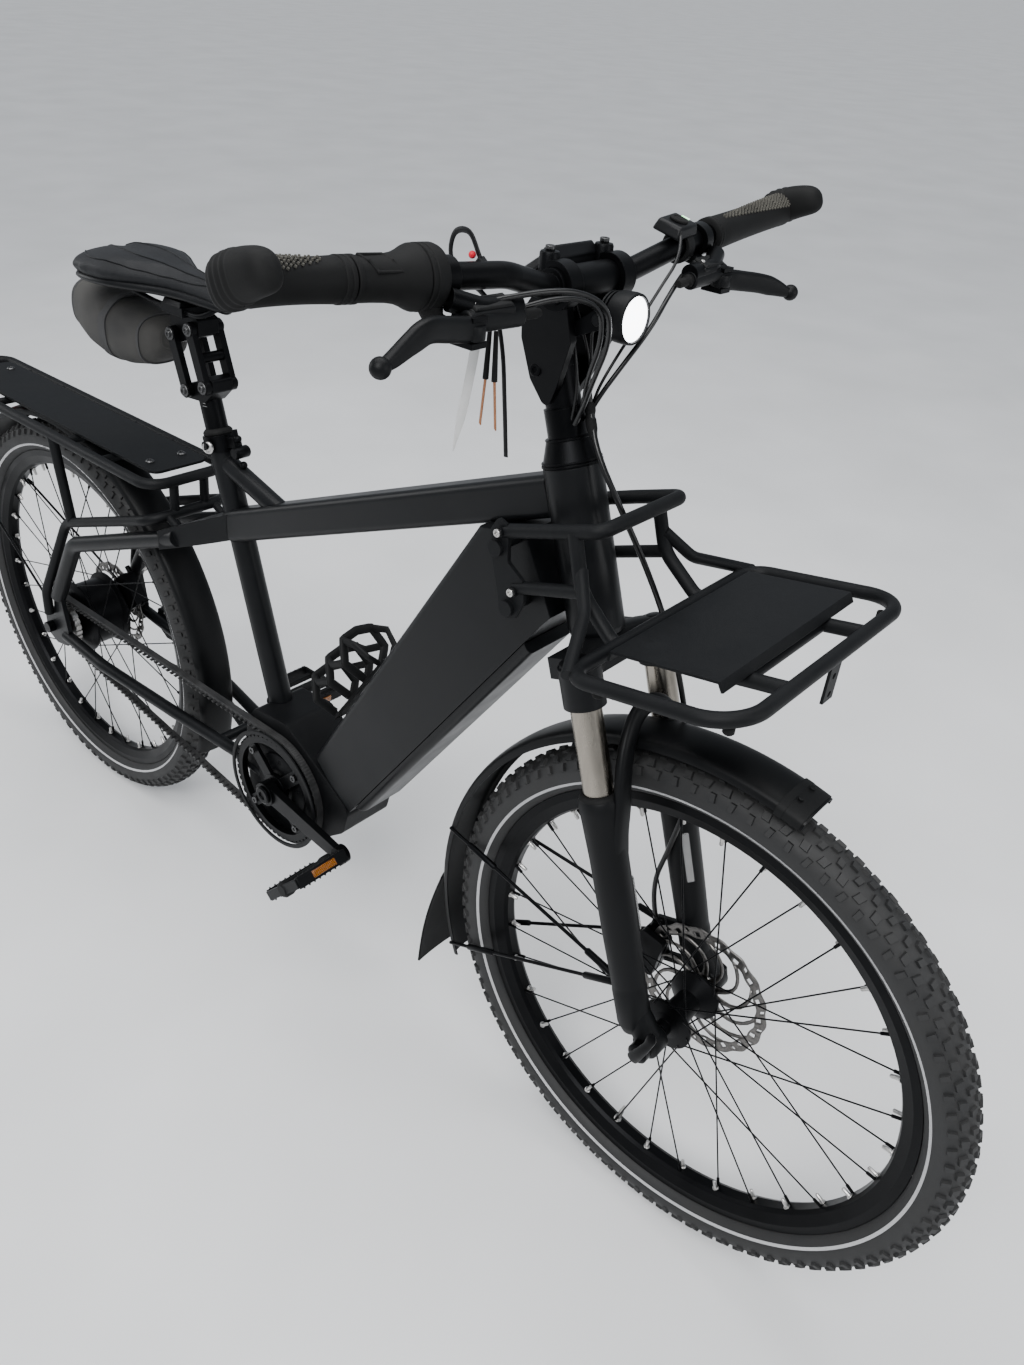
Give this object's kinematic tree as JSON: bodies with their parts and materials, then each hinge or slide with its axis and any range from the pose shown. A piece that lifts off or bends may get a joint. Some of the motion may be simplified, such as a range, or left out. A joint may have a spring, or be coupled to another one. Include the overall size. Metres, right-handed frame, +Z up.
{
  "type": "electric bicycle",
  "caption": "Touring e-bike with belt drive, suspension fork, front and rear carriers, mudguards and a kickstand that holds it up.",
  "frame": {"origin": "under the middle of the bounding box, on the floor", "axes": "+X forward along the bicycle, +Y to the rider's left, +Z up; the bicycle leans 3 degrees to its left onto its kickstand"},
  "size_m": [1.9982, 0.785, 1.2128],
  "materials": {
    "frame_paint": "satin black-grey paint with fine speckle",
    "black_metal": "black anodised and painted metal",
    "black_plastic": "fine-grained black plastic",
    "motor_shell": "matt black casting",
    "silver": "bare steel",
    "rubber": "black rubber",
    "tyre": "black tyre with a fine tread",
    "belt": "black belt",
    "grip": "textured grip rubber",
    "saddle_skin": "stitched black cover",
    "bag_cloth": "black woven cloth",
    "red_lens": "red lens",
    "screen": "dark screen"
  },
  "bodies": {
    "frame": {"head_tube": "frame_paint", "top_tube": "frame_paint", "down_tube": "frame_paint", "battery_cover": "black_plastic", "seat_tube": "frame_paint", "rear_stays": "frame_paint", "motor": "motor_shell", "rear_rack": "black_metal", "rear_rack_plate": "black_metal", "rear_fender": "black_plastic", "front_carrier": "black_metal", "carrier_plate": "black_metal", "carrier_side_plates": "black_plastic", "bottle_cage": "black_metal", "seat_clamp": "black_metal", "rear_light": "red_lens", "rear_axle": "silver", "rear_caliper": "black_metal", "drive_belt": "belt", "stand_bracket": "black_metal"},
    "steering": {"fork_crown": "black_metal", "stanchions": "black_metal", "stem": "black_metal", "handlebar": "black_metal", "grips": "grip", "brake_mounts": "black_metal", "display": "screen", "remote": "black_plastic", "cables": "rubber"},
    "fork_slider": {"fork_lowers": "black_metal", "front_fender": "black_plastic", "front_axle": "black_metal", "front_caliper": "black_metal"},
    "front_wheel": {"front_hub": "black_metal", "front_rim": "black_metal", "front_tyre": "tyre", "front_spokes": "black_metal", "front_rotor": "silver"},
    "rear_wheel": {"rear_hub": "black_metal", "rear_rim": "black_metal", "rear_tyre": "tyre", "rear_spokes": "black_metal", "rear_rotor": "silver"},
    "crank": {"crank_arms": "black_metal", "front_sprocket": "black_metal"},
    "rear_cog": {"rear_sprocket": "silver"},
    "right_pedal": {"pedal_right": "black_metal"},
    "left_pedal": {"pedal_left": "black_metal"},
    "right_lever": {"brake_lever_right": "black_metal"},
    "left_lever": {"brake_lever_left": "black_metal"},
    "shifter": {"twist_shifter": "black_plastic"},
    "lamp": {"headlight": "silver"},
    "button": {"remote_pad": "rubber"},
    "post": {"seatpost": "black_metal"},
    "front_link": {"seatpost_front_link": "black_metal"},
    "rear_link": {"seatpost_rear_link": "black_metal"},
    "seat": {"saddle_mount": "black_metal", "saddle": "saddle_skin", "saddle_bag": "bag_cloth"},
    "stand": {"kickstand": "black_metal"}
  },
  "joints": [
    {"name": "steering_turn", "type": "hinge", "parent": "frame", "child": "steering", "pos_m": [0.45449, -0.02051, 0.77904], "axis": [-0.3256, 0.0495, 0.9442], "range_deg": [-50, 50]},
    {"name": "fork_travel", "type": "slide", "parent": "steering", "child": "fork_slider", "axis": [-0.3256, 0.0495, 0.9442], "range_m": [0, 0.06], "stiffness_N_per_m": 8000, "springref_m": -0.03, "deforming": ["cables"]},
    {"name": "front_wheel_spin", "type": "hinge", "parent": "fork_slider", "child": "front_wheel", "pos_m": [0.64911, -0.04302, 0.34956], "axis": [0, 0.9986, -0.0523], "continuous": true},
    {"name": "rear_wheel_spin", "type": "hinge", "parent": "frame", "child": "rear_wheel", "pos_m": [-0.63689, -0.04302, 0.34956], "axis": [0, 0.9986, -0.0523], "continuous": true},
    {"name": "crank_spin", "type": "hinge", "parent": "frame", "child": "crank", "pos_m": [-0.04689, -0.04501, 0.31161], "axis": [0, 0.9986, -0.0523], "continuous": true, "deforming": ["drive_belt"]},
    {"name": "rear_cog_spin", "type": "hinge", "parent": "frame", "child": "rear_cog", "pos_m": [-0.63689, -0.04302, 0.34956], "axis": [0, 0.9986, -0.0523], "continuous": true},
    {"name": "right_pedal_spin", "type": "hinge", "parent": "crank", "child": "right_pedal", "pos_m": [0.1227, -0.1375, 0.30459], "axis": [0, 0.9986, -0.0523], "continuous": true},
    {"name": "left_pedal_spin", "type": "hinge", "parent": "crank", "child": "left_pedal", "pos_m": [-0.21648, 0.04749, 0.31864], "axis": [0, 0.9986, -0.0523], "continuous": true},
    {"name": "right_lever_pull", "type": "hinge", "parent": "steering", "child": "right_lever", "pos_m": [0.42511, -0.20213, 1.13497], "axis": [0, -0.0523, -0.9986], "range_deg": [0, 14], "stiffness_Nm_per_rad": 1.2, "springref_deg": -8.59},
    {"name": "left_lever_pull", "type": "hinge", "parent": "steering", "child": "left_lever", "pos_m": [0.42511, 0.17335, 1.11529], "axis": [0, 0.0523, 0.9986], "range_deg": [0, 14], "stiffness_Nm_per_rad": 1.2, "springref_deg": -8.59},
    {"name": "twist_shift", "type": "hinge", "parent": "steering", "child": "shifter", "pos_m": [0.38261, -0.25407, 1.17574], "axis": [-0.0907, -0.9892, 0.115], "range_deg": [-80, 80]},
    {"name": "headlight_tilt", "type": "hinge", "parent": "steering", "child": "lamp", "pos_m": [0.42311, -0.00314, 1.11052], "axis": [0, 0.9986, -0.0523], "range_deg": [-12, 12]},
    {"name": "button_press", "type": "slide", "parent": "steering", "child": "button", "axis": [0, -0.0523, -0.9986], "range_m": [0, 0.001], "stiffness_N_per_m": 1500, "springref_m": -0.001},
    {"name": "seatpost_height", "type": "slide", "parent": "frame", "child": "post", "axis": [-0.284, 0.0502, 0.9575], "range_m": [-0.03, 0.08]},
    {"name": "front_link_swing", "type": "hinge", "parent": "post", "child": "front_link", "pos_m": [-0.20889, -0.01528, 0.87884], "axis": [0, -0.9986, 0.0523], "range_deg": [0, 30], "stiffness_Nm_per_rad": 60, "springref_deg": -17.19},
    {"name": "rear_link_swing", "type": "hinge", "parent": "post", "child": "rear_link", "pos_m": [-0.25089, -0.01602, 0.86485], "axis": [0, -0.9986, 0.0523], "range_deg": [0, 30]},
    {"name": "seat_level", "type": "hinge", "parent": "front_link", "child": "seat", "pos_m": [-0.23331, -0.01157, 0.94965], "axis": [0, -0.9986, 0.0523], "range_deg": [-30, 0]},
    {"name": "kickstand_swing", "type": "hinge", "parent": "frame", "child": "stand", "pos_m": [-0.53189, 0.05538, 0.31637], "axis": [0, 0.9563, 0.2924], "range_deg": [0, 80]}
  ],
  "couplings": [
    {"joint": "rear_cog_spin", "follows": "crank_spin", "ratio": 2},
    {"joint": "rear_link_swing", "follows": "front_link_swing", "ratio": 1},
    {"joint": "seat_level", "follows": "front_link_swing", "ratio": -1}
  ]
}
